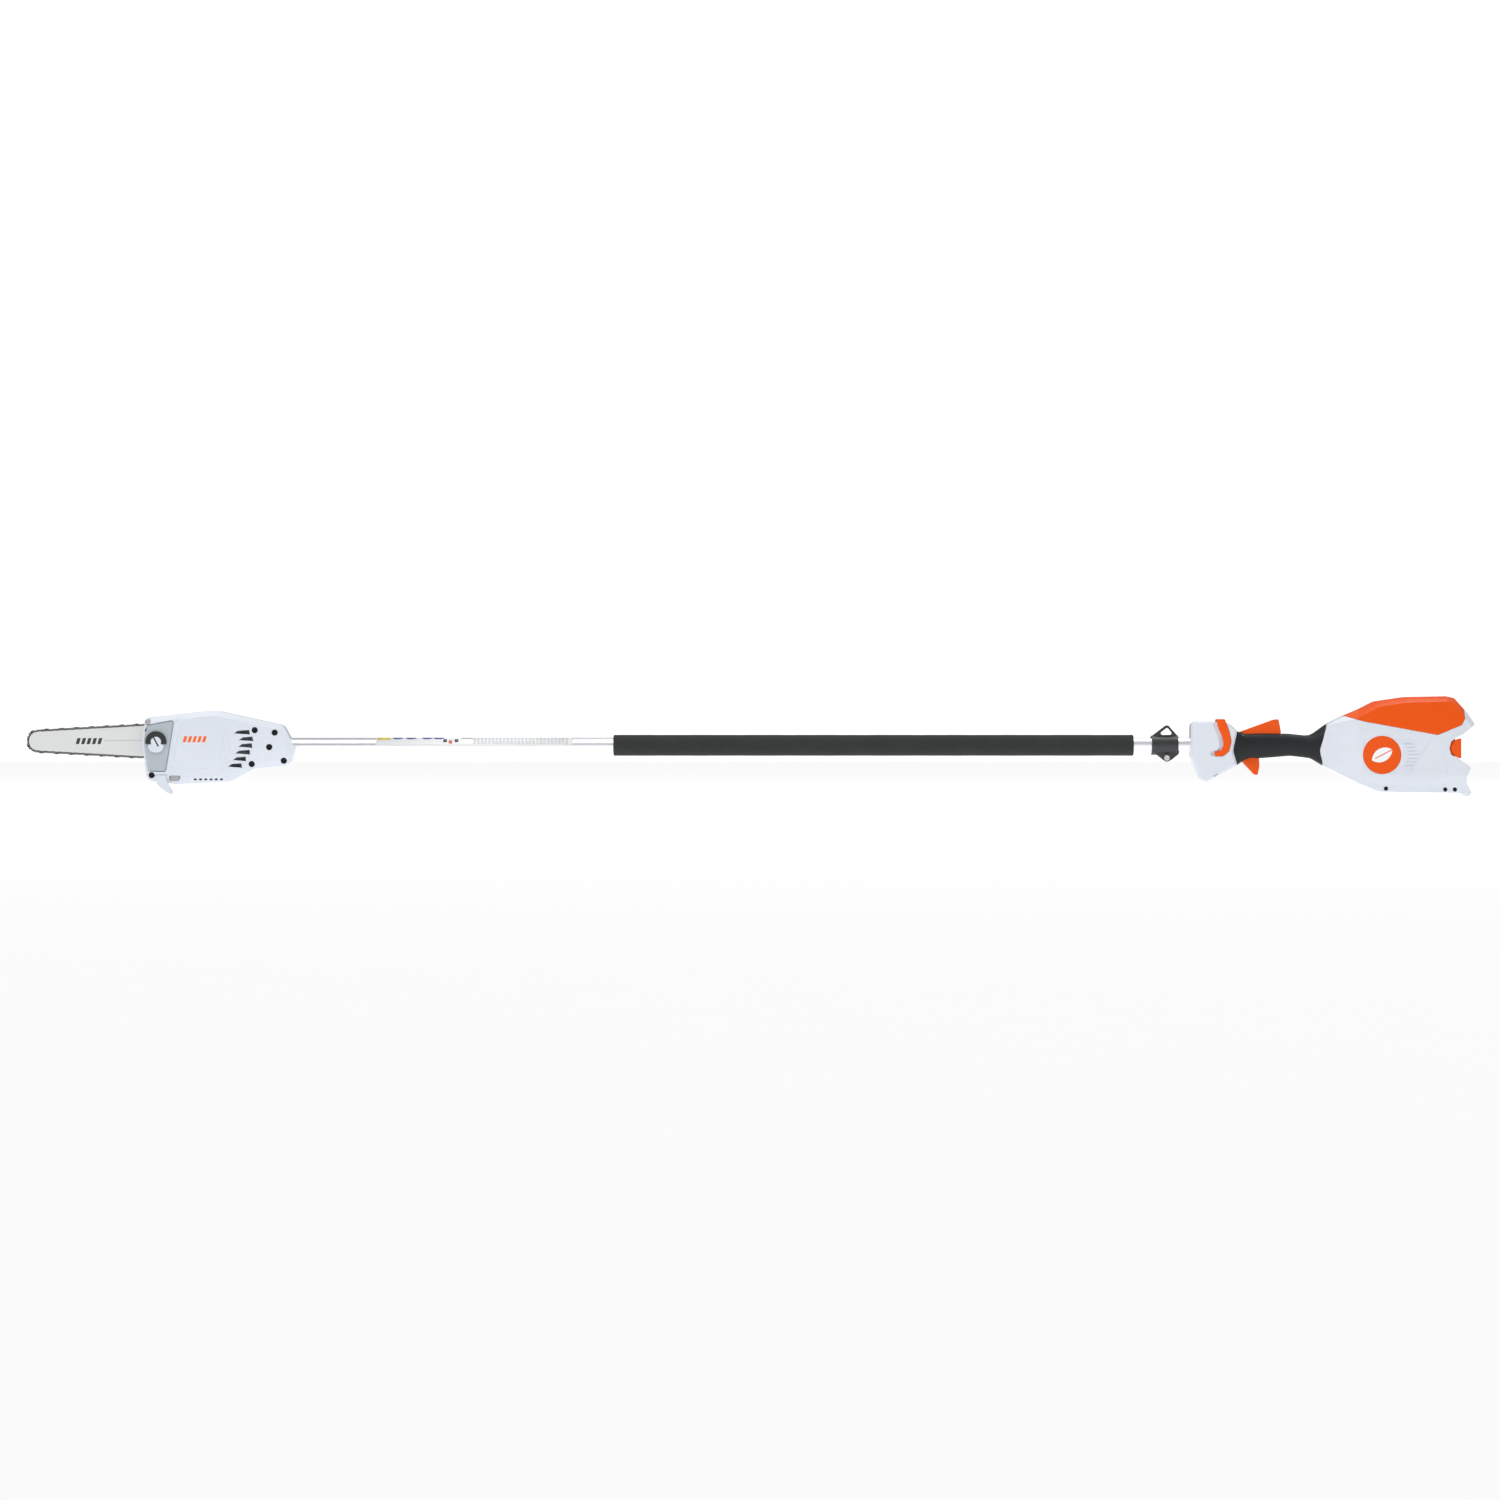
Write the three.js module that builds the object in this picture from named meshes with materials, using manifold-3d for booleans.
// A battery pole saw: saw head, one-piece shaft with a foam sleeve, control handle and battery housing.
// Millimetres, +Z up. The shaft runs along X with the saw head at -X, and the ground is at z = 0.
// Inside the assembly, heights are measured from the shaft's axis.
import * as THREE from "three";
import { mergeVertices } from "three/addons/utils/BufferGeometryUtils.js";
import Module from "manifold-3d";

// ---- driving dimensions -------------------------------------------------------------------------
const gap = 0.35; // between pieces that are screwed or pressed together
const runningGap = 0.4; // between pieces that move past each other
const exposedShaft = 1483; // shaft between the head's casing and the control housing
const barReach = 450.7; // from the casing's rear end to the tip of the chain
const rearLength = 470; // from the control housing's front to the end of the battery housing
const axisHeight = 84.3; // the shaft's axis above the lowest point of the battery housing

const tubeRadius = 12.7;
const tubeWall = 1.5;
const tubeIntoHead = 60;
const tubeIntoHandle = 58;
const foamWall = 4.75;
const foamLength = 863;
const foamToHandle = 93;
const cableRadius = 3.5;

const headWall = 2.5;
const headNearDepth = 44; // from the seam to the casing's near face
const headFarDepth = 17.5; // from the seam to the face that the bar is clamped on
const barPad = 2; // raised pad under the bar
const barThickness = 3;
const barSlack = 5; // travel of the bar for tensioning the chain
const barAxis = 7; // the bar's centre line above the shaft's axis
const grooveWidth = 1.7;
const grooveDepth = 6.5;
const chainHeight = 5.2;
const chainWidth = 5;
const tongueDepth = 4.2;
const tongueWidth = 1.1;
const coverDepth = 22;
const coverWall = 2.2;
const studRadius = 4;

const toothModule = 2;
const gearTeeth = 32;
const pinionTeeth = 8;
const pumpTeeth = 11;
const gearWidth = 8;
const outputShaftRadius = 4;
const bearingRadius = 8;
const motorShaftRadius = 3;
const statorRadius = 27;
const statorBore = 17;
const statorLength = 27;

const handleHalfWidth = 24;
const handleWall = 6.5;
const slideTravel = 6;
const slideDepth = 3; // depth of the channel that the unlocking slide runs in
const gripWall = 3.6;
const triggerWidth = 12;
const leverWidth = 15;
const pinRadius = 2;

const rearHalfWidth = 48;
const rearWall = 3;
const trayHalfWidth = 37;
const trayWall = 3;
const latchTravel = 2.5;
const badgeRadius = 31.5;
const badgeThickness = 1;

const headX = barReach - (barReach + exposedShaft + rearLength) / 2;
const handleX = headX + exposedShaft;
const barCentreY = headFarDepth + barPad + gap + barThickness / 2;
const sprocketPlace = { x: -199, z: barAxis };

// ---- solids -------------------------------------------------------------------------------------
const wasm = await Module();
wasm.setup();

function signedVolume(position, index) {
  let sum = 0;
  const [a, b, c] = [new THREE.Vector3(), new THREE.Vector3(), new THREE.Vector3()];
  for (let i = 0; i < index.count; i += 3) {
    a.fromBufferAttribute(position, index.getX(i));
    b.fromBufferAttribute(position, index.getX(i + 1));
    c.fromBufferAttribute(position, index.getX(i + 2));
    sum += a.dot(b.cross(c)) / 6;
  }
  return sum;
}

function toSolid(geometry) {
  const bare = geometry.clone();
  bare.deleteAttribute("normal");
  bare.deleteAttribute("uv");
  const merged = mergeVertices(bare, 1e-4);
  const triVerts = Uint32Array.from(merged.index.array);
  if (signedVolume(merged.attributes.position, merged.index) < 0) {
    triVerts.reverse();
  }
  const vertProperties = Float32Array.from(merged.attributes.position.array);
  return new wasm.Manifold(new wasm.Mesh({ numProp: 3, vertProperties, triVerts }));
}

function toGeometry(solid) {
  const mesh = solid.getMesh();
  const geometry = new THREE.BufferGeometry();
  geometry.setAttribute("position", new THREE.BufferAttribute(Float32Array.from(mesh.vertProperties), 3));
  geometry.setIndex(new THREE.BufferAttribute(Uint32Array.from(mesh.triVerts), 1));
  return geometry;
}

function join(...geometries) {
  return toGeometry(geometries.map(toSolid).reduce((sum, part) => sum.add(part)));
}

function cut(geometry, ...tools) {
  return toGeometry(tools.map(toSolid).reduce((rest, tool) => rest.subtract(tool), toSolid(geometry)));
}

function common(...geometries) {
  return toGeometry(geometries.map(toSolid).reduce((shared, part) => shared.intersect(part)));
}

function moved(geometry, x, y, z) {
  return geometry.clone().translate(x, y, z);
}

// ---- outlines: lists of [along, across, corner radius] ------------------------------------------
function isAnticlockwise(points) {
  return THREE.ShapeUtils.area(points.map(([x, z]) => new THREE.Vector2(x, z))) > 0;
}

// Moves every edge of an outline outwards by a distance, or inwards when it is negative.
function grow(points, distance) {
  const side = isAnticlockwise(points) ? 1 : -1;
  const count = points.length;
  return points.map(([x, z, radius = 0], i) => {
    const before = points[(i + count - 1) % count];
    const after = points[(i + 1) % count];
    const into = new THREE.Vector2(x - before[0], z - before[1]).normalize();
    const out = new THREE.Vector2(after[0] - x, after[1] - z).normalize();
    const turn = side * into.cross(out);
    const mitre = distance / (1 + into.dot(out));
    const cornerX = x + side * (into.y + out.y) * mitre;
    const cornerZ = z - side * (into.x + out.x) * mitre;
    const rounding = radius === 0 ? 0 : Math.max(radius + Math.sign(turn) * distance, 0.5);
    return [cornerX, cornerZ, rounding];
  });
}

// A closed shape through the points, each corner rounded by an arc of its radius.
function outline(points, steps = 2) {
  const count = points.length;
  const corners = [];
  points.forEach(([x, z, radius = 0], i) => {
    const corner = new THREE.Vector2(x, z);
    if (radius === 0) {
      corners.push(corner);
      return;
    }
    const before = points[(i + count - 1) % count];
    const after = points[(i + 1) % count];
    const back = new THREE.Vector2(before[0], before[1]).sub(corner);
    const on = new THREE.Vector2(after[0], after[1]).sub(corner);
    const half = Math.acos(THREE.MathUtils.clamp(back.dot(on) / back.length() / on.length(), -1, 1)) / 2;
    const room = 0.48 * Math.min(back.length(), on.length());
    const reach = Math.min(radius / Math.tan(half), room);
    const start = corner.clone().addScaledVector(back.normalize(), reach);
    const end = corner.clone().addScaledVector(on.normalize(), reach);
    const centre = corner.clone().addScaledVector(back.add(on).normalize(), reach / Math.cos(half));
    const from = start.sub(centre);
    const sweep = Math.atan2(from.cross(end.clone().sub(centre)), from.dot(end.sub(centre)));
    for (let step = 0; step <= steps; step += 1) {
      corners.push(from.clone().rotateAround(new THREE.Vector2(), (sweep * step) / steps).add(centre));
    }
  });
  return new THREE.Shape(corners);
}

// A slab with an X-Z outline, from one Y to another. Both faces can have a chamfer round them, which
// takes its width off the outline and reaches its depth into the slab.
function slab(points, yFrom, yTo, chamfer = 0, steps = 2, chamferDepth = chamfer) {
  const options = { depth: yTo - yFrom - 2 * chamferDepth, bevelEnabled: chamfer > 0, bevelSegments: 1 };
  Object.assign(options, { bevelThickness: chamferDepth, bevelSize: chamfer, bevelOffset: -chamfer });
  const geometry = new THREE.ExtrudeGeometry(outline(points, steps), options);
  return geometry.translate(0, 0, chamferDepth - yTo).rotateX(Math.PI / 2);
}

// A prism along Z with an X-Y outline, and one along X with a Y-Z outline.
function plank(points, zFrom, zTo) {
  const geometry = new THREE.ExtrudeGeometry(outline(points), { depth: zTo - zFrom, bevelEnabled: false });
  return geometry.translate(0, 0, zFrom);
}

function beam(points, xFrom, xTo) {
  const geometry = new THREE.ExtrudeGeometry(outline(points), { depth: xTo - xFrom, bevelEnabled: false });
  return geometry.rotateX(Math.PI / 2).rotateZ(Math.PI / 2).translate(xFrom, 0, 0);
}

function block(xFrom, xTo, yFrom, yTo, zFrom, zTo) {
  const box = new THREE.BoxGeometry(xTo - xFrom, yTo - yFrom, zTo - zFrom);
  return box.translate((xFrom + xTo) / 2, (yFrom + yTo) / 2, (zFrom + zTo) / 2);
}

function rodY(x, z, radius, yFrom, yTo, sides = 12) {
  const rod = new THREE.CylinderGeometry(radius, radius, yTo - yFrom, sides);
  return rod.translate(x, (yFrom + yTo) / 2, z);
}

function rodX(y, z, radius, xFrom, xTo, sides = 12) {
  const rod = new THREE.CylinderGeometry(radius, radius, xTo - xFrom, sides);
  return rod.rotateZ(Math.PI / 2).translate((xFrom + xTo) / 2, y, z);
}

function ringY(x, z, outer, inner, yFrom, yTo, sides = 16) {
  const profile = [[inner, yFrom], [outer, yFrom], [outer, yTo], [inner, yTo], [inner, yFrom]];
  const ring = new THREE.LatheGeometry(profile.map(([r, y]) => new THREE.Vector2(r, y)), sides);
  return ring.translate(x, 0, z);
}

// A pipe along X: pairs of [x, radius] for its outside, from front to back, round a plain bore.
function pipeX(profile, bore, sides = 24) {
  const outside = profile.map(([x, radius]) => new THREE.Vector2(radius, x));
  const first = new THREE.Vector2(bore, profile[0][0]);
  const last = new THREE.Vector2(bore, profile[profile.length - 1][0]);
  return new THREE.LatheGeometry([first, ...outside, last, first.clone()], sides).rotateZ(-Math.PI / 2);
}

// A spur gear about Y with straight-sided teeth. Phase is the angle of one tooth, from +X towards +Z.
function gear(place, teeth, phase, yFrom, yTo, bore) {
  const pitchRadius = (teeth * toothModule) / 2;
  const tip = pitchRadius + 0.85 * toothModule;
  const root = pitchRadius - 1.15 * toothModule;
  const step = (2 * Math.PI) / teeth;
  const points = [];
  for (let tooth = 0; tooth < teeth; tooth += 1) {
    const angle = phase + tooth * step;
    [[root, -0.3], [tip, -0.11], [tip, 0.11], [root, 0.3]].forEach(([radius, share]) => {
      const a = angle + share * step;
      points.push([place.x + radius * Math.cos(a), place.z + radius * Math.sin(a)]);
    });
  }
  return cut(slab(points, yFrom, yTo), rodY(place.x, place.z, bore, yFrom - 1, yTo + 1));
}

// A chain sprocket about Y: rounded pockets between short teeth.
function sprocket(place, teeth, tip, root, yFrom, yTo, bore) {
  const points = [];
  for (let tooth = 0; tooth < teeth; tooth += 1) {
    [[root, -0.32], [tip, -0.14], [tip, 0.14], [root, 0.32]].forEach(([radius, share]) => {
      const a = ((tooth + share) * 2 * Math.PI) / teeth;
      points.push([place.x + radius * Math.cos(a), place.z + radius * Math.sin(a)]);
    });
  }
  return cut(slab(points, yFrom, yTo), rodY(place.x, place.z, bore, yFrom - 1, yTo + 1));
}

function countersunkScrew(x, z, yHead, yEnd, headRadius, shankRadius) {
  const head = rodY(x, z, headRadius, yHead, yHead + 2.6, 10);
  const shank = rodY(x, z, shankRadius, yHead + 1, yEnd, 6);
  return cut(join(head, shank), rodY(x, z, 0.45 * headRadius, yHead - 1, yHead + 1.4, 6));
}

// ---- finishes -----------------------------------------------------------------------------------
const finishes = {
  white: { color: 0xe4e8ef, roughness: 0.38, metalness: 0 },
  orange: { color: 0xef6a16, roughness: 0.34, metalness: 0 },
  black: { color: 0x26292b, roughness: 0.62, metalness: 0 },
  foam: { color: 0x282b2b, roughness: 0.95, metalness: 0 },
  smoked: { color: 0xb4bfc6, roughness: 0.25, metalness: 0 },
  aluminium: { color: 0xd2d4da, roughness: 0.3, metalness: 1 },
  steel: { color: 0xc9ccca, roughness: 0.28, metalness: 1 },
  chain: { color: 0x6f7173, roughness: 0.35, metalness: 1 },
  screw: { color: 0x1e2022, roughness: 0.5, metalness: 0.6 },
  copper: { color: 0xb5703a, roughness: 0.4, metalness: 1 },
  board: { color: 0x2f5b3c, roughness: 0.6, metalness: 0 },
};

const saw = new THREE.Group();
const head = new THREE.Group();
const shaft = new THREE.Group();
const handle = new THREE.Group();
head.position.x = headX;
handle.position.x = handleX;
saw.add(head, shaft, handle);
saw.position.z = axisHeight;

function add(group, name, geometry, finish) {
  const mesh = new THREE.Mesh(geometry, new THREE.MeshStandardMaterial(finishes[finish]));
  mesh.name = name;
  group.add(mesh);
}

// ---- saw head: x is measured from the casing's rear end -----------------------------------------
// Outlines list [x, z, corner radius].
const casing = [
  [-246, 46, 11], [-132, 58.5, 60], [-19, 33.5, 11], [-7, 11, 20], [0, -10, 12],
  [-6, -33, 11], [-62, -37.5, 20], [-106, -59.5, 14], [-193, -64, 40], [-244, -58.5, 11], [-252, 10, 50],
];
const sidePanel = [
  [-195, 44, 10], [-137, 44, 14], [-113, 26, 22], [-105, -8, 22], [-124, -38, 14], [-208.5, -38, 10],
];
const panelStep = 0.8; // each of the two raised steps on the near side
const tankWindow = [[-243, 33, 4], [-198, 42, 4], [-212, -44, 4], [-241.5, -43, 4], [-248, 6, 20]];
const capPlace = { x: -228, z: 5.6 };
const headChamfer = 9;
const headChamferDepth = 6;
const tankBack = -10;
const motorPlace = { x: sprocketPlace.x + (toothModule * (gearTeeth + pinionTeeth)) / 2, z: barAxis };
const pumpPlace = { x: sprocketPlace.x, z: barAxis - (toothModule * (gearTeeth + pumpTeeth)) / 2 };
const studPlace = { x: -236, z: barAxis };
const pinPlace = { x: -239, z: barAxis - 15 };
const sliderPinRadius = 2.5;
const tensionScrewPlace = { y: 11.4, z: -16, radius: 1.8 };
const screwSeat = -38; // where the casing's screws bear
const screwHeadRadius = 5;
const casingScrews = [[-65, 25], [-32, 21], [-17, -25.5], [-70, -31], [-235.5, -49.5]];
const lockScrew = [-41, -3];
const frontScrew = [-242.5, 38.5];
const hookOutline = [
  [-230, -49], [-211, -49], [-208.5, -64, 14], [-198.5, -79, 3], [-202.5, -81.8, 2], [-211, -78, 9],
  [-226, -66, 16],
];
const bumper = [[-206, -50.5, 2], [-187, -50.5, 2], [-190, -58.5, 2], [-206, -58.5, 2]];

// The six cooling slots are pointed at the front and follow the motor's round side.
function coolingSlots() {
  const ends = [[-97, -73], [-89, -67.5], [-90, -69], [-95, -72.5], [-99, -79], [-107, -86]];
  return ends.map(([from, to], row) => {
    const z = 21.6 - 11 * row;
    return slab([[from - 2, z - 2], [to, z - 3.8], [to - 1, z + 3.8], [from + 4, z + 2.4]], -60, -30);
  });
}

// A row of short drain slots low on the near side.
function drainSlots() {
  return Array.from({ length: 6 }, (_, i) => {
    const x = -165 + 8.6 * i;
    return slab([[x, -58], [x + 4.5, -57.5], [x + 3.5, -54.8], [x - 1, -55.2]], -60, -34);
  });
}

function screwBosses(yFrom, yTo) {
  return [...casingScrews, frontScrew].map(([x, z]) => rodY(x, z, 6.4, yFrom, yTo, 8));
}

function headCasing() {
  const innerChamfer = headChamfer - 0.6 * headWall;
  const innerDepth = headChamferDepth - 0.4 * headWall;
  const body = cut(
    slab(casing, -headNearDepth, 60, headChamfer, 2, headChamferDepth),
    block(-300, 50, headFarDepth, 80, -100, 100),
  );
  const room = cut(
    slab(grow(casing, -headWall), headWall - headNearDepth, 60, innerChamfer, 2, innerDepth),
    block(-300, 50, headFarDepth - headWall, 80, -100, 100),
  );
  const ribs = [-54, -33].map((x) => block(x, x + 4, -60, 60, -70, 70));
  const rearWall = block(-14, 10, -60, 60, -70, 70);
  const lockBoss = rodY(...lockScrew, 6.4, -60, -tubeRadius, 8);
  const rooms = cut(room, ...ribs, rearWall, ...screwBosses(-60, 60), lockBoss);
  const tubeBore = rodX(0, 0, tubeRadius + gap, -tubeIntoHead - 1, 20, 24);
  return cut(body, rooms, tubeBore);
}

function screwHoles() {
  const places = [...casingScrews, frontScrew];
  const holes = places.map(([x, z]) => rodY(x, z, 2 + gap, -60, headFarDepth - 3, 6));
  const recessRadius = screwHeadRadius + gap;
  const recesses = [...places, lockScrew].map(([x, z]) => rodY(x, z, recessRadius, -60, screwSeat, 12));
  return [...holes, ...recesses, rodY(...lockScrew, 2 + gap, -60, -5, 6)];
}

function headShellNear(body) {
  const half = common(body, block(-300, 50, -60, -gap / 2, -100, 100));
  const tankPocket = slab(grow(tankWindow, gap), -60, tankBack + gap);
  const hookSlot = slab(grow(hookOutline, gap), -60, -headNearDepth + 9 + gap);
  const bumperPocket = slab(grow(bumper, gap), -60, -headNearDepth + 3.5 + gap);
  const slots = [...coolingSlots(), ...drainSlots()];
  const panels = [0, 1].map((step) => {
    const face = -headNearDepth - (step + 1) * panelStep;
    return slab(grow(sidePanel, -8 * step), face, 0.6 * headWall - headNearDepth, panelStep);
  });
  return cut(join(half, ...panels), ...screwHoles(), tankPocket, hookSlot, bumperPocket, ...slots);
}

function headShellFar(body) {
  const half = common(body, block(-300, 50, gap / 2, 60, -100, 100));
  const [padLow, padHigh] = [barAxis - 20, barAxis + 12];
  const padOutline = [[-247, padLow, 3], [-224, padLow, 3], [-224, padHigh, 3], [-247, padHigh, 3]];
  const pad = slab(padOutline, headFarDepth - headWall, headFarDepth + barPad);
  const studHole = rodY(studPlace.x, studPlace.z, studRadius + gap, 0, 40);
  const pinRoom = sliderPinRadius + runningGap;
  const { x: pinX, z: pinZ } = pinPlace;
  const pinSlot = block(pinX - pinRoom, pinX + barSlack + pinRoom, 1, 40, pinZ - pinRoom, pinZ + pinRoom);
  const { y, z, radius } = tensionScrewPlace;
  const screwHole = rodX(y, z, radius + runningGap, -260, -240);
  const bearingSeat = rodY(sprocketPlace.x, sprocketPlace.z, bearingRadius + gap, 5, 40, 24);
  return cut(join(half, pad), ...screwHoles(), studHole, pinSlot, screwHole, bearingSeat);
}

function oilTank() {
  const body = slab(tankWindow, -headNearDepth + gap, tankBack, 2);
  const room = slab(grow(tankWindow, -2.2), -headNearDepth + gap + 2.2, tankBack - 2.2);
  return cut(body, room, rodY(capPlace.x, capPlace.z, 10.5, -60, -30));
}

function oilCap() {
  const { x, z } = capPlace;
  const shieldShape = [[x - 15, z - 4, 3], [x + 15, z - 4, 3], [x + 7, z - 22, 5], [x - 7, z - 22, 5]];
  const shield = slab(shieldShape, -60, 0);
  const face = -headNearDepth - 0.3;
  const disc = rodY(x, z, 17.6, face - 2.6, face, 32);
  const knob = rodY(x, z, 8.5, face - 3.4, face, 24);
  const plug = rodY(x, z, 10.5 - runningGap, face - 0.5, face + 6, 20);
  const slot = block(-9, 9, -60, face - 1.6, -1.3, 1.3).rotateY(THREE.MathUtils.degToRad(62));
  return cut(join(common(disc, shield), knob, plug), moved(slot, x, 0, z));
}

function capRing() {
  const { x, z } = capPlace;
  const ring = ringY(x, z, 17.6, 8.5 + gap, -headNearDepth - 3, -headNearDepth - 0.9, 24);
  return cut(ring, block(x - 30, x + 30, -60, 0, z - 30, z - 4 + gap));
}

function gearboxPlate() {
  const shape = [[-238, -24, 6], [-140, -30, 10], [-124, 0, 12], [-130, 40, 10], [-236, 38, 6]];
  const bearingSeat = rodY(sprocketPlace.x, sprocketPlace.z, outputShaftRadius + runningGap, -20, 20, 24);
  const shaftHole = rodY(motorPlace.x, motorPlace.z, motorShaftRadius + runningGap, -20, 20);
  return cut(slab(shape, -7, -3), bearingSeat, shaftHole);
}

function coolingFan() {
  const { x, z } = motorPlace;
  const hub = ringY(x, z, 8, motorShaftRadius + gap, -41, -37.4, 16);
  const blades = Array.from({ length: 6 }, (_, i) => {
    const blade = block(6.5, statorRadius - 4, -41, -37.4, -0.8, 0.8);
    return moved(blade.rotateY((i * Math.PI) / 3), x, 0, z);
  });
  return join(hub, ...blades);
}

function motorStator() {
  const { x, z } = motorPlace;
  const ring = ringY(x, z, statorRadius, statorBore + 4, -9 - statorLength, -9, 24);
  const teeth = Array.from({ length: 9 }, (_, i) => {
    const tooth = block(statorBore, statorBore + 5, -9 - statorLength, -9, -4, 4);
    return moved(tooth.rotateY((i * 2 * Math.PI) / 9), x, 0, z);
  });
  return join(ring, ...teeth);
}

function motorShaft() {
  const { x, z } = motorPlace;
  const pinion = gear(motorPlace, pinionTeeth, 0, 0, gearWidth, motorShaftRadius - 1);
  return join(rodY(x, z, motorShaftRadius, -41, gearWidth + 1), pinion);
}

const barOutline = [
  [-445.5, 14.6, 14], [-445.5, -14.6, 14], [-251, -25.6, 40], [-223, -16, 3], [-223, 16, 3], [-251, 25.6, 40],
].map(([x, z, radius]) => [x, z + barAxis, radius]);
const chainPath = [
  [-445.5, 14.6, 14], [-445.5, -14.6, 14], [-251 + barSlack, -25.6, 40],
  [-185.1, -13.9, 13.8], [-185.1, 13.9, 13.8], [-251 + barSlack, 25.6, 40],
].map(([x, z, radius]) => [x, z + barAxis, radius]);
const nosePlace = { x: -431.5, z: barAxis };

function guideBar() {
  const yFrom = barCentreY - barThickness / 2;
  const yTo = barCentreY + barThickness / 2;
  const plate = slab(barOutline, yFrom, yTo, 0, 4);
  const web = slab(grow(barOutline, -grooveDepth), -60, 60, 0, 4);
  const middle = slab(grow(barOutline, 5), barCentreY - grooveWidth / 2, barCentreY + grooveWidth / 2, 0, 2);
  const groove = cut(middle, cut(web, rodY(nosePlace.x, nosePlace.z, 10.2, -80, 80, 20)));
  const { x, z } = studPlace;
  const reach = studRadius + runningGap;
  const studSlot = slab([
    [x - reach - barSlack, z - reach, 4], [x + reach, z - reach, 4],
    [x + reach, z + reach, 4], [x - reach - barSlack, z + reach, 4],
  ], -60, 60);
  const pinHole = rodY(pinPlace.x, pinPlace.z, sliderPinRadius + gap, -60, 60, 12);
  return cut(plate, groove, studSlot, pinHole);
}

function sawChain() {
  function loop(inner, outer, width) {
    const [yFrom, yTo] = [barCentreY - width / 2, barCentreY + width / 2];
    return cut(slab(grow(chainPath, outer), yFrom, yTo, 0, 4), slab(grow(chainPath, inner), -60, 60, 0, 4));
  }
  const tongue = loop(-tongueDepth, runningGap + 0.5, tongueWidth);
  return join(loop(runningGap, chainHeight, chainWidth), tongue);
}

function tensionSlider() {
  const { x, z } = pinPlace;
  const innerFace = headFarDepth - headWall - runningGap;
  const body = block(x - 3.4, x + 4, gearWidth + runningGap, innerFace, tensionScrewPlace.z - 3, z + 3.5);
  const pin = rodY(x, z, sliderPinRadius, innerFace - 1, barCentreY + barThickness / 2 + 1, 12);
  const { y: screwY, z: screwZ, radius } = tensionScrewPlace;
  const bore = rodX(screwY, screwZ, radius + gap, x - 10, x + 10);
  return cut(join(body, pin), bore);
}

function tensionScrew() {
  const { y, z, radius } = tensionScrewPlace;
  return cut(rodX(y, z, radius, -248.5, -229, 12), block(-250, -247.5, y - 3, y + 3, z - 0.4, z + 0.4));
}

function sprocketCover() {
  const shape = [
    [-248.5, 44, 8], [-186, 50, 20], [-157, 32, 20], [-157, -18, 20], [-186, -42, 20], [-248.5, -38, 6],
  ];
  const yFrom = headFarDepth + gap;
  const yTo = headFarDepth + coverDepth;
  const body = slab(shape, yFrom - 4, yTo, 4);
  const room = slab(grow(shape, -coverWall), yFrom - 10, yTo - coverWall);
  const mouthHalf = 25.6 + chainHeight + 2;
  const mouthTo = barCentreY + chainWidth / 2 + 1.5;
  const mouth = block(-260, -240, 0, mouthTo, barAxis - mouthHalf, barAxis + mouthHalf);
  const { x, z } = studPlace;
  const sleeve = rodY(x, z, 8, barCentreY + barThickness / 2 + gap, yTo - 1, 20);
  const trimmed = cut(body, block(-300, 0, -60, yFrom, -100, 100), room, mouth);
  return cut(join(trimmed, sleeve), rodY(x, z, studRadius + gap, -60, 60));
}

function barStud() {
  const { x, z } = studPlace;
  const flangeTo = headFarDepth - headWall - gap;
  const flange = rodY(x, z, 6.5, flangeTo - 2, flangeTo, 12);
  return join(flange, rodY(x, z, studRadius, flangeTo - 1, headFarDepth + coverDepth + 7));
}

function coverNut() {
  const { x, z } = studPlace;
  const yFrom = headFarDepth + coverDepth + gap;
  const hex = rodY(x, z, 7.5, yFrom, yFrom + 5.5, 6);
  return cut(hex, rodY(x, z, studRadius + gap, 0, 60));
}

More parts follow.
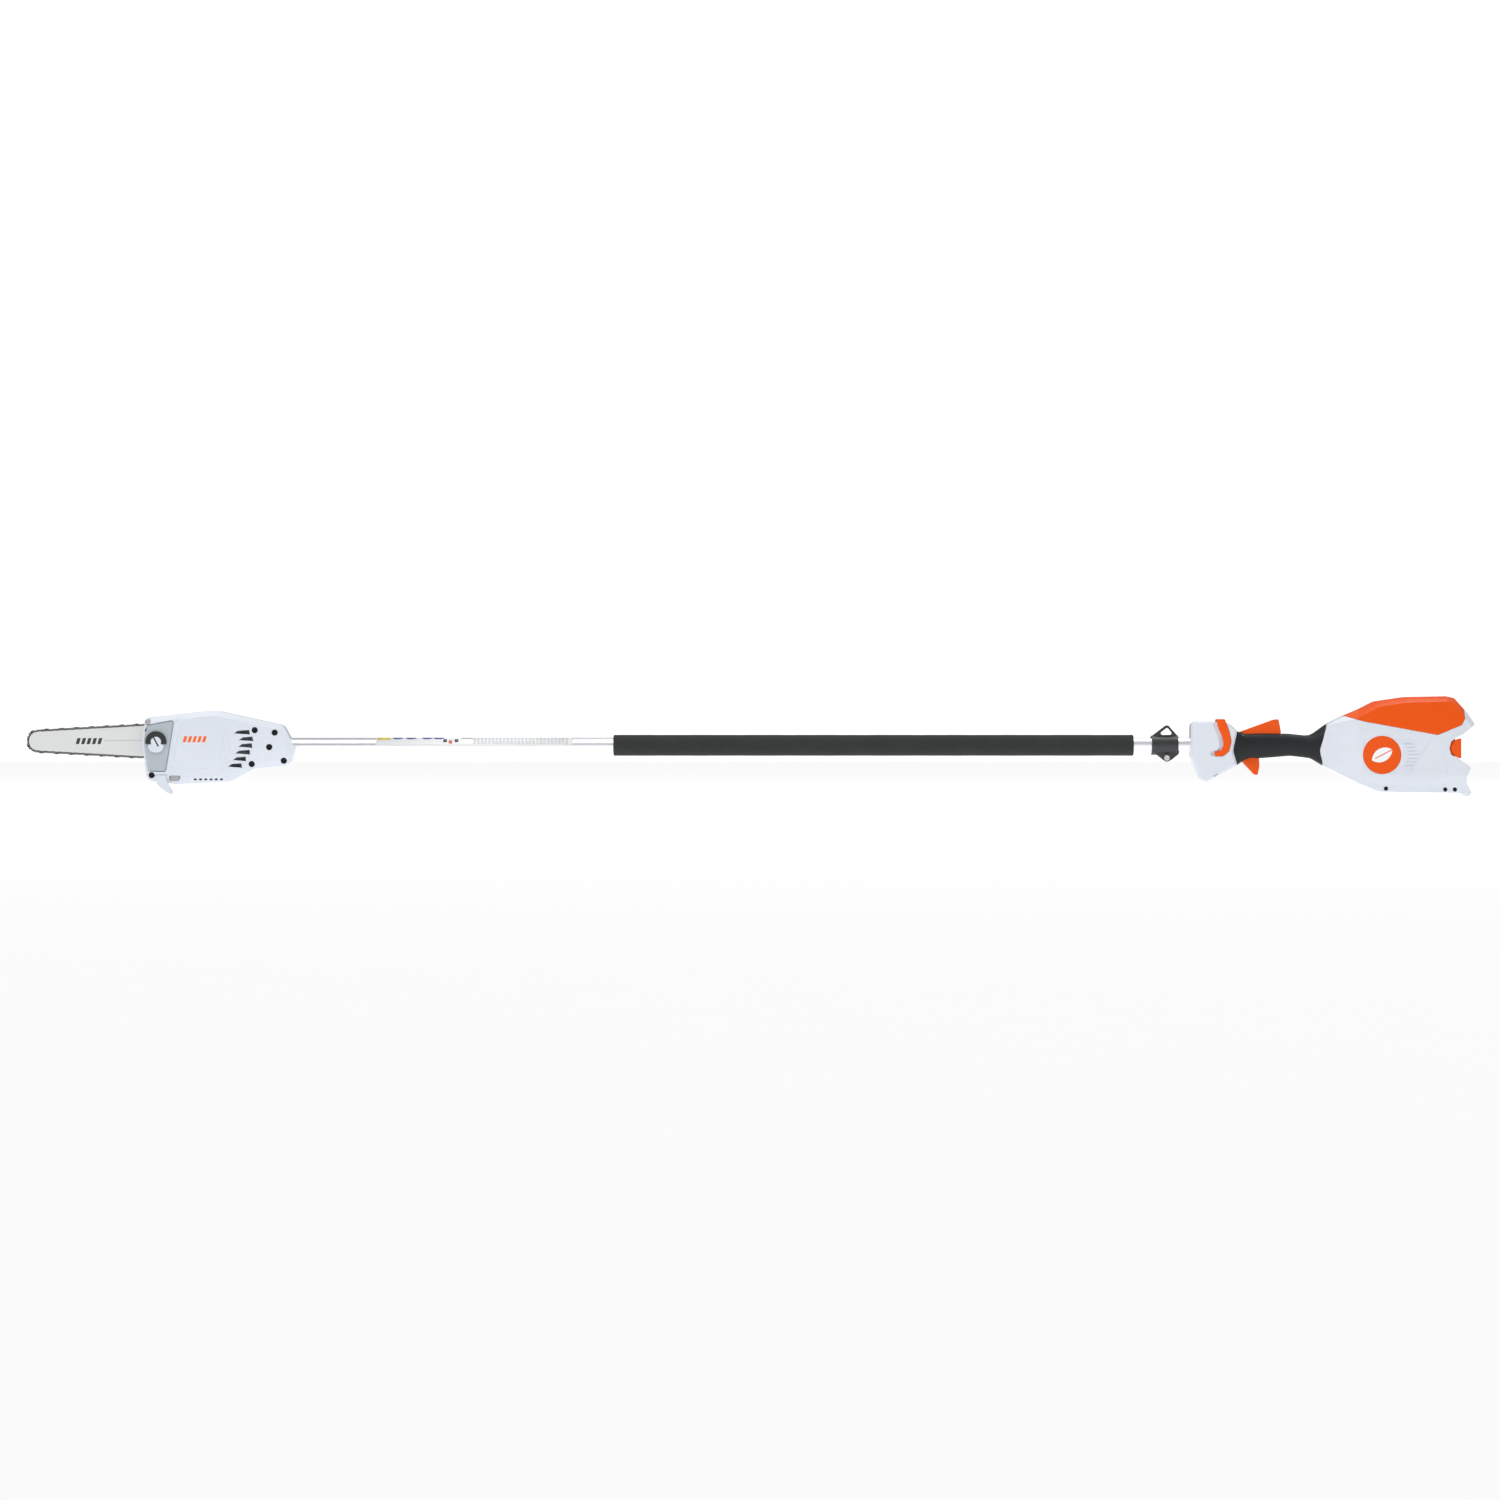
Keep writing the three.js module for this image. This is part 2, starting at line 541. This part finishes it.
function buildHead() {
  const body = headCasing();
  const { x, z } = sprocketPlace;
  const barFront = barCentreY - barThickness / 2;
  add(head, "head_shell_near", headShellNear(body), "white");
  add(head, "head_shell_far", headShellFar(body), "white");
  add(head, "oil_tank", oilTank(), "smoked");
  add(head, "oil_cap", oilCap(), "white");
  add(head, "oil_cap_ring", capRing(), "black");
  const sealFront = -headNearDepth + 6.4;
  const seal = ringY(capPlace.x, capPlace.z, 9.6, 6.5, sealFront, sealFront + 2.1, 20);
  add(head, "oil_cap_seal", seal, "black");
  add(head, "motor_stator", motorStator(), "copper");
  const rotorRadius = statorBore - 0.6;
  const rotorBore = motorShaftRadius + gap;
  const rotor = ringY(motorPlace.x, motorPlace.z, rotorRadius, rotorBore, -7 - statorLength, -11, 20);
  add(head, "motor_rotor", rotor, "steel");
  add(head, "motor_shaft", motorShaft(), "steel");
  add(head, "cooling_fan", coolingFan(), "black");
  add(head, "gearbox_plate", gearboxPlate(), "aluminium");
  const shaftBore = outputShaftRadius + gap;
  const halfTooth = Math.PI / gearTeeth;
  add(head, "drive_gear", gear(sprocketPlace, gearTeeth, halfTooth, 0, gearWidth, shaftBore), "steel");
  add(head, "output_shaft", rodY(x, z, outputShaftRadius, -8, barCentreY + 5.5), "steel");
  const bearing = ringY(x, z, bearingRadius, shaftBore, headFarDepth - 5, headFarDepth);
  add(head, "outer_bearing", bearing, "steel");
  const sprocketFrom = barFront - 1;
  const sprocketTo = barFront + barThickness + 1;
  const driveSprocket = sprocket(sprocketPlace, 8, 9.2, 7.6, sprocketFrom, sprocketTo, shaftBore);
  add(head, "drive_sprocket", driveSprocket, "steel");
  const pumpShaft = rodY(pumpPlace.x, pumpPlace.z, 2, -15, gearWidth + 1, 12);
  const pumpWheel = gear(pumpPlace, pumpTeeth, Math.PI / 2, 0, gearWidth, 1);
  add(head, "pump_gear", join(pumpWheel, pumpShaft), "steel");
  const pumpShaftHole = rodY(pumpPlace.x, pumpPlace.z, 2 + gap, -40, 40, 12);
  const pumpBody = block(-208.5, -189, -20, -1, -46, -31);
  add(head, "oil_pump", cut(pumpBody, pumpShaftHole), "aluminium");
  add(head, "guide_bar", guideBar(), "steel");
  const noseFrom = barCentreY - 0.5;
  add(head, "nose_sprocket", sprocket(nosePlace, 7, 9.2, 6.5, noseFrom, noseFrom + 1, 2.5), "steel");
  add(head, "saw_chain", sawChain(), "chain");
  add(head, "bar_stud", barStud(), "steel");
  add(head, "tension_slider", tensionSlider(), "steel");
  add(head, "tension_screw", tensionScrew(), "steel");
  add(head, "sprocket_cover", sprocketCover(), "white");
  add(head, "cover_nut", coverNut(), "screw");
  add(head, "branch_hook", slab(hookOutline, -headNearDepth, -headNearDepth + 9), "white");
  add(head, "bumper_plate", slab(bumper, -headNearDepth, -headNearDepth + 3.5), "aluminium");
  const screwTop = screwSeat - 2.6 - gap;
  const screwEnd = headFarDepth - 3.5;
  casingScrews.forEach(([sx, sz], i) => {
    const screw = countersunkScrew(sx, sz, screwTop, screwEnd, screwHeadRadius, 2);
    add(head, `head_screw_${i + 1}`, screw, "screw");
  });
  const frontScrewSolid = countersunkScrew(...frontScrew, screwTop, screwEnd, screwHeadRadius, 2);
  add(head, "front_screw", frontScrewSolid, "steel");
  const lockScrewSolid = countersunkScrew(...lockScrew, screwTop, -tubeRadius + 4, screwHeadRadius, 2);
  add(head, "tube_lock_screw", lockScrewSolid, "screw");
}

// ---- shaft, with its foam sleeve and the carrying eye -------------------------------------------
function shaftTube() {
  const from = headX - tubeIntoHead;
  const to = handleX + tubeIntoHandle;
  const tube = pipeX([[from, tubeRadius], [to, tubeRadius]], tubeRadius - tubeWall);
  return cut(tube, rodY(headX + lockScrew[0], lockScrew[1], 2 + gap, -20, 0, 12));
}

function foamSleeve() {
  const to = handleX - foamToHandle;
  const from = to - foamLength;
  const radius = tubeRadius + foamWall;
  const rounding = 0.5 * foamWall;
  const profile = [
    [from, radius - rounding], [from + 0.3 * rounding, radius - 0.3 * rounding], [from + rounding, radius],
    [to - rounding, radius], [to - 0.3 * rounding, radius - 0.3 * rounding], [to, radius - rounding],
  ];
  return pipeX(profile, tubeRadius + gap, 20);
}

// The carrying eye is a clamp: a barrel on the shaft, a triangular loop above and two ears below.
const eyeScrewPlace = { x: -38, z: -tubeRadius - 8.3 };

function harnessEye() {
  const barrelRadius = tubeRadius + 3.6;
  const top = tubeRadius + 22.3;
  const loopFoot = tubeRadius + 0.9;
  const loopShape = [
    [-65, loopFoot - 8, 2], [-65, loopFoot, 3], [-37, top, 5], [-18, loopFoot, 3], [-18, loopFoot - 8, 2],
  ];
  const loop = slab(loopShape, -4.5, 4.5, 0, 4);
  const eyeFoot = barrelRadius + 1;
  const eye = slab([[-53, eyeFoot, 2.5], [-26.5, eyeFoot, 2.5], [-36.8, top - 5.3, 2.5]], -60, 60);
  const barrel = rodX(0, 0, barrelRadius, -63, -19, 24);
  const { x, z } = eyeScrewPlace;
  const earDepth = z - 7;
  const ears = slab([
    [-61, 0], [-59, -12, 4], [-44, 4 + earDepth, 6], [-38, earDepth, 5], [-30, 4 + earDepth, 6],
    [-17.5, -14, 6], [-17.5, 0],
  ], -9, 9);
  const split = block(-80, 0, -1.2, 1.2, -60, -tubeRadius + 2);
  const bore = rodX(0, 0, tubeRadius + runningGap, -90, 10, 24);
  return cut(join(loop, barrel, ears), eye, split, bore, rodY(x, z, 2 + gap, -60, 60, 12));
}

function eyeScrew() {
  const { x, z } = eyeScrewPlace;
  const screwHead = rodY(x, z, 4.6, -12.4, -9 - gap, 16);
  const shank = rodY(x, z, 2, -12, 9 + gap + 3, 10);
  return cut(join(screwHead, shank), rodY(x, z, 2, -14, -11, 6));
}

function buildShaft() {
  add(shaft, "shaft_tube", shaftTube(), "aluminium");
  add(shaft, "foam_sleeve", foamSleeve(), "foam");
  const cable = rodX(0, 0, cableRadius, headX - 74, handleX + tubeIntoHandle + 20, 10);
  add(shaft, "shaft_cable", cable, "black");
  add(handle, "harness_eye", harnessEye(), "black");
  add(handle, "eye_screw", eyeScrew(), "steel");
}

// ---- control handle: x is measured from the control housing's front -----------------------------
const controlOutline = [
  [1, 36, 6], [13, 40, 10], [46, 41.5, 14], [66, 36, 8], [78, 24, 0], [71, -9, 20],
  [78, -33, 0], [46, -50, 6], [27, -61, 8], [14, -56, 8], [1, -20, 20],
];
const slideOutline = [
  [44, 43.5, 2], [57, 43.5, 2], [64, 24, 10], [68, 7, 14], [64, -10, 8], [54, -18, 6],
  [40, -18, 3], [40, -10, 3], [51, -9, 4], [55.5, 1, 10], [52, 16, 10], [45, 32, 6],
];
const gripOutline = [
  [79.4, 23, 0], [91, 19.2, 14], [125, 20.6, 60], [165, 19.2, 60], [199, 15.5, 24], [225, 34, 0],
  [219.5, 12, 12], [213.5, -9, 16], [220, -33, 0], [201, -21.6, 20], [168, -17.4, 60], [117, -21.6, 40],
  [98, -20.5, 12], [79.4, -33, 0], [71.5, -9, 20],
];
const triggerPivot = { x: 89, z: -12 };
const leverPivot = { x: 87, z: 15.5 };

function controlCore(offset) {
  const halfWidth = handleHalfWidth - slideDepth + offset;
  return slab(grow(controlOutline, offset - slideDepth), -halfWidth, halfWidth);
}

function controlHousing() {
  const body = slab(controlOutline, -handleHalfWidth, handleHalfWidth, 3.5);
  const roomHalf = handleHalfWidth - handleWall;
  const room = slab(grow(controlOutline, -handleWall), -roomHalf, roomHalf);
  const rib = block(34, 38, -60, 60, -70, 70);
  const shell = cut(body, cut(room, rib));
  const steps = [0, slideTravel / 2, slideTravel];
  const channel = steps.map((step) => moved(slab(grow(slideOutline, runningGap), -60, 60), -step, 0, 0));
  const walls = cut(join(...channel), controlCore(0));
  const tubeBore = rodX(0, 0, tubeRadius + gap, -20, tubeIntoHandle + 2, 24);
  const cableHole = rodX(0, 0, cableRadius + 1.5, 40, 120);
  const drain = slab([[38, -50.2], [46, -45.8], [47, -47.8], [39, -52.4]], -60, 4 - handleHalfWidth);
  return cut(shell, walls, tubeBore, cableHole, drain);
}

function unlockSlide() {
  const proud = 1.4;
  const saddle = slab(slideOutline, -handleHalfWidth - proud, handleHalfWidth + proud);
  const steps = [0, slideTravel / 2, slideTravel];
  return cut(saddle, ...steps.map((step) => moved(controlCore(runningGap), step, 0, 0)));
}

// The grip's body: a squarish oval reshaped ring by ring. Each ring is [x, top, bottom, half width].
const gripFullness = 2.8;
const gripSides = 24;
const gripStations = [
  [60, 36, -36, 22], [78, 27, -34, 21], [92, 19.6, -24, 18.5], [125, 20.8, -21.8, 17.5],
  [165, 19.6, -18.2, 17], [199, 17.5, -22, 19], [213, 27, -30, 23], [232, 42, -40, 27],
];

function gripBody(offset) {
  const rings = gripStations.length - 1;
  const geometry = new THREE.CylinderGeometry(1, 1, 1, gripSides, rings).rotateZ(-Math.PI / 2);
  const position = geometry.attributes.position;
  for (let i = 0; i < position.count; i += 1) {
    const ring = Math.round((position.getX(i) + 0.5) * rings);
    const [x, top, bottom, halfWidth] = gripStations[ring];
    const middle = (top + bottom) / 2;
    const side = Math.max(Math.hypot(position.getY(i), position.getZ(i)), 1e-9);
    const fullness = side < 0.5 ? 0 : 1;
    const y = (position.getY(i) / side) * fullness;
    const z = (position.getZ(i) / side) * fullness;
    const sum = Math.pow(Math.abs(y), gripFullness) + Math.pow(Math.abs(z), gripFullness) + 1e-9;
    const bulge = Math.pow(sum, -1 / gripFullness) * fullness;
    const halfHeight = (top - bottom) / 2 + offset;
    position.setXYZ(i, x, y * bulge * (halfWidth + offset), middle + z * bulge * halfHeight);
  }
  return geometry;
}

function grip() {
  const body = common(gripBody(0), slab(gripOutline, -60, 60, 0, 2));
  const room = gripBody(-gripWall);
  const triggerRoom = triggerWidth / 2 + runningGap;
  const leverRoom = leverWidth / 2 + runningGap;
  const triggerSlot = block(80, 122.5, -triggerRoom, triggerRoom, -60, -8);
  const leverSlot = block(81.5, 153.5, -leverRoom, leverRoom, 8, 60);
  const bossRoom = block(70, 110, -leverWidth / 2 - 1.5, leverWidth / 2 + 1.5, -60, 60);
  const pivots = [triggerPivot, leverPivot];
  const bosses = pivots.map(({ x, z }) => cut(rodY(x, z, 4.5, -60, 60, 8), bossRoom));
  const pinHoles = pivots.map(({ x, z }) => rodY(x, z, pinRadius + gap, -15, 15, 8));
  return cut(body, cut(room, ...bosses), triggerSlot, leverSlot, ...pinHoles);
}

function trigger() {
  const shape = [
    [84, -24, 2], [107, -48.6, 3], [113, -49.3, 2], [116, -34, 4], [114.5, -12, 3], [104, -6, 4],
    [87, -6, 5], [82, -12, 5],
  ];
  const blade = slab(shape, -triggerWidth / 2, triggerWidth / 2, 0.8);
  return cut(blade, rodY(triggerPivot.x, triggerPivot.z, pinRadius + runningGap, -60, 60, 12));
}

function lockoutLever() {
  const shape = [
    [83.5, 22.5, 1.5], [139, 42.6, 5], [147.5, 43.6, 2.5], [151.5, 22, 2], [150.5, 17, 2],
    [95, 11.5, 3], [83, 11.5, 4],
  ];
  const blade = slab(shape, -leverWidth / 2, leverWidth / 2, 0.8);
  return cut(blade, rodY(leverPivot.x, leverPivot.z, pinRadius + runningGap, -60, 60, 12));
}

function buildHandle() {
  const housing = controlHousing();
  add(handle, "control_shell_near", common(housing, block(-20, 100, -60, -gap / 2, -100, 100)), "white");
  add(handle, "control_shell_far", common(housing, block(-20, 100, gap / 2, 60, -100, 100)), "white");
  add(handle, "unlock_slide", unlockSlide(), "orange");
  add(handle, "grip", grip(), "black");
  add(handle, "trigger", trigger(), "orange");
  add(handle, "trigger_pin", rodY(triggerPivot.x, triggerPivot.z, pinRadius, -14.5, 14.5, 8), "steel");
  add(handle, "lockout_lever", lockoutLever(), "orange");
  add(handle, "lockout_pin", rodY(leverPivot.x, leverPivot.z, pinRadius, -14.5, 14.5, 8), "steel");
  add(handle, "switch_module", block(118, 150, -9, 9, -12, 7), "black");
  add(handle, "handle_cable", rodX(0, 0, cableRadius, 150 + gap, 262 - gap, 10), "black");
}

// ---- battery housing ----------------------------------------------------------------------------
const shellOutline = [
  [226.2, 34.8, 0], [253, 48, 0], [280, 59.5, 8], [307, 73, 12], [354, 80, 20], [422, 81.3, 12],
  [436, 78.5, 8], [452.5, 60, 0], [458, 54, 3], [470, 35, 0], [449, 18, 4], [438, 13, 6], [429, 6, 6],
  [426, -5, 8], [429, -16, 6],
  [444, -23, 4], [463, -37, 4], [455, -52, 5], [454.5, -61, 6], [465, -79, 2], [459, -84.3, 0], [453, -79, 2],
  [409, -79, 20], [314, -77, 14], [278, -63, 20], [220.8, -34.5, 0], [214.2, -9, 16], [220.3, 12, 12],
];
const coverOutline = [
  [253.6, 48.8, 0], [249, 60, 0], [330, 95, 0], [480, 95, 0], [452.2, 60.3, 0], [452.2, 43.8, 0],
  [447, 33.6, 3], [407.5, 17.2, 5], [285, 39.6, 4],
];
const roomOutline = [
  [232, 31, 0], [253, 44.5, 0], [307, 69.5, 12], [354, 76.8, 20], [422, 78, 12], [433, 76, 8],
  [449, 58, 0], [449, -56, 0], [451, -62, 0], [451, -76, 0], [409, -76, 20], [314, -74, 14],
  [279, -60, 20], [226, -32, 0], [219.5, -9, 16],
];
// The battery housing's upper edge, carried on past the housing at the front, rear and bottom.
const upperForm = [
  [190, -140, 0], [560, -140, 0], [560, -60, 0], [454, 61, 0], [436.5, 79, 0], [422, 81.8, 0],
  [354, 80.5, 0], [307, 73.5, 0], [280, 60, 0], [190, 22, 0],
];
const upperFacet = { width: 14, depth: 22 }; // the sloped face along the top and the front
const crossSection = [
  [-rearHalfWidth, -50, 6], [-rearHalfWidth + 9, -84.4, 3],
  [rearHalfWidth - 9, -84.4, 3], [rearHalfWidth, -50, 6],
  [rearHalfWidth, 17, 6], [rearHalfWidth - 8, 86, 0], [-rearHalfWidth + 8, 86, 0], [-rearHalfWidth, 17, 6],
];
const planOutline = [
  [205, -24, 0], [280, -rearHalfWidth, 20], [480, -rearHalfWidth, 0],
  [480, rearHalfWidth, 0], [280, rearHalfWidth, 20], [205, 24, 0],
];
const badgePlace = { x: 315, z: -16 };
const ventRows = [-34, -28, -22, -16, -10, -4, 2]; // vent grooves before and behind the badge
const grooveCut = 0.9;
// Inside this outline the side face lies one groove's depth lower.
const creaseOutline = [
  [412, 13, 8], [396, 12, 10], [360, -45, 14], [346, -56, 10], [352, -65, 6], [414, -64, 10], [424, -40, 14],
];
const rearScrews = [[322, -71.5], [420, -73], [436, -73]];
const trayFront = 345;
const trayBack = 424;
const trayFloor = -58;
const trayTop = 32;
const latchPlace = { x: 446, z: -5, radius: 16.4 };
const latchPad = [40.5, 46.5]; // from the middle plane

function rearBody(side, offset) {
  const halfWidth = rearHalfWidth + offset;
  const upper = slab(grow(upperForm, offset), -halfWidth, halfWidth, upperFacet.width, 2, upperFacet.depth);
  const section = beam(grow(crossSection, offset), 200, 490);
  return common(side, section, plank(grow(planOutline, offset), -100, 100), upper);
}

function rearShell() {
  const outer = rearBody(slab(shellOutline, -60, 60), 0);
  const room = rearBody(slab(roomOutline, -60, 60), -rearWall);
  const bosses = rearScrews.map(([x, z]) => rodY(x, z, 4.6, -60, 60, 8));
  const mouthHalf = trayHalfWidth - trayWall + 1;
  const mouth = block(440, 480, -mouthHalf, mouthHalf, trayFloor, trayTop);
  const neck = rodX(0, 0, 12, 200, 240, 16);
  return cut(outer, cut(room, ...bosses), mouth, neck);
}

function rearHalf(shell, side) {
  const [halfFrom, halfTo] = side < 0 ? [-60, -gap / 2] : [gap / 2, 60];
  const half = block(180, 490, halfFrom, halfTo, -100, 100);
  const screwHoles = rearScrews.map(([x, z]) => rodY(x, z, 1.6 + gap, -36.5, 60, 10));
  const recesses = rearScrews.map(([x, z]) => rodY(x, z, 3.4 + gap, -60, -36, 12));
  const badge = rodY(badgePlace.x, badgePlace.z, badgeRadius + gap, 0, badgeThickness + gap, 32);
  const badgeFrom = side < 0 ? -rearHalfWidth : rearHalfWidth - badgeThickness - gap;
  const pocket = moved(badge, 0, badgeFrom, 0);
  const [sideFrom, sideTo] = side < 0 ? [-60, grooveCut - rearHalfWidth] : [rearHalfWidth - grooveCut, 60];
  const grooves = ventRows.flatMap((z, row) => {
    const bend = 9 - Math.abs(z - badgePlace.z) / 2;
    const [front, back] = [badgePlace.x - 43 - bend, badgePlace.x + 43 + bend];
    const behind = block(back - 7, back + 9, sideFrom, sideTo, z, z + 1.6);
    const before = block(front - 8, front + 4, sideFrom, sideTo, z, z + 1.6);
    return row % 2 ? [behind, before] : [behind];
  });
  const panel = slab(creaseOutline, sideFrom, sideTo);
  const coverRoom = slab(grow(coverOutline, gap), -60, 60);
  return cut(common(shell, half), coverRoom, ...screwHoles, ...recesses, pocket, ...grooves, panel);
}

function batteryTray() {
  const outer = block(trayFront, trayBack, -trayHalfWidth, trayHalfWidth, trayFloor, trayTop);
  const inside = trayHalfWidth - trayWall;
  const room = block(trayFront + trayWall, 480, -inside, inside, trayFloor + trayWall, trayTop - trayWall);
  const window = block(trayFront - 5, trayFront + 5, -20 - gap, 20 + gap, -25 - gap, 5 + gap);
  const rails = [-1, 1].map((side) => {
    const [from, to] = side < 0 ? [-inside - 1, -inside + 3] : [inside - 3, inside + 1];
    return block(trayFront + 1, trayBack, from, to, -8, -2);
  });
  return cut(join(cut(outer, room), ...rails), window);
}

function batteryContacts() {
  const base = block(trayFront - 4, trayFront + trayWall + 1, -20, 20, -25, 5);
  const blades = [-14, -5, 5, 14].map((y) => block(trayFront, trayFront + 20, y - 0.8, y + 0.8, -20, 0));
  return join(base, ...blades);
}

// A half-round thumb pad in each side notch, with a tongue held between the tray and the shell.
function batteryLatch(side) {
  const { x, z, radius } = latchPlace;
  const across = (from, to) => (side < 0 ? [-to, -from] : [from, to]);
  const pad = common(rodY(x, z, radius, ...across(...latchPad), 24), block(x - 40, x, -60, 60, -60, 60));
  const tongueFrom = trayHalfWidth + latchTravel + runningGap;
  const tongue = block(406, x - 8, ...across(tongueFrom, tongueFrom + 3.6), z - 8, z + 8);
  return join(pad, tongue);
}

function controller() {
  const base = block(262, 322, -24, 24, -36, -28);
  const housing = block(262, 322, -20, 20, -29, 14);
  const fins = [-15, -9, -3, 3, 9, 15].map((y) => block(266, 318, y - 1, y + 1, 10, 22));
  return join(base, housing, ...fins);
}

function buildRear() {
  const shell = rearShell();
  add(handle, "rear_shell_near", rearHalf(shell, -1), "white");
  add(handle, "rear_shell_far", rearHalf(shell, 1), "white");
  add(handle, "top_cover", common(shell, slab(coverOutline, -60, 60)), "orange");
  add(handle, "battery_tray", batteryTray(), "black");
  add(handle, "battery_contacts", batteryContacts(), "copper");
  add(handle, "motor_controller", controller(), "aluminium");
  add(handle, "battery_latch_near", batteryLatch(-1), "orange");
  add(handle, "battery_latch_far", batteryLatch(1), "orange");
  rearScrews.forEach(([x, z], i) => {
    add(handle, `rear_screw_${i + 1}`, countersunkScrew(x, z, -39.5, 20, 3.3, 1.6), "screw");
  });
}

buildHead();
buildShaft();
buildHandle();
buildRear();
saw.updateMatrixWorld(true);

export default saw;
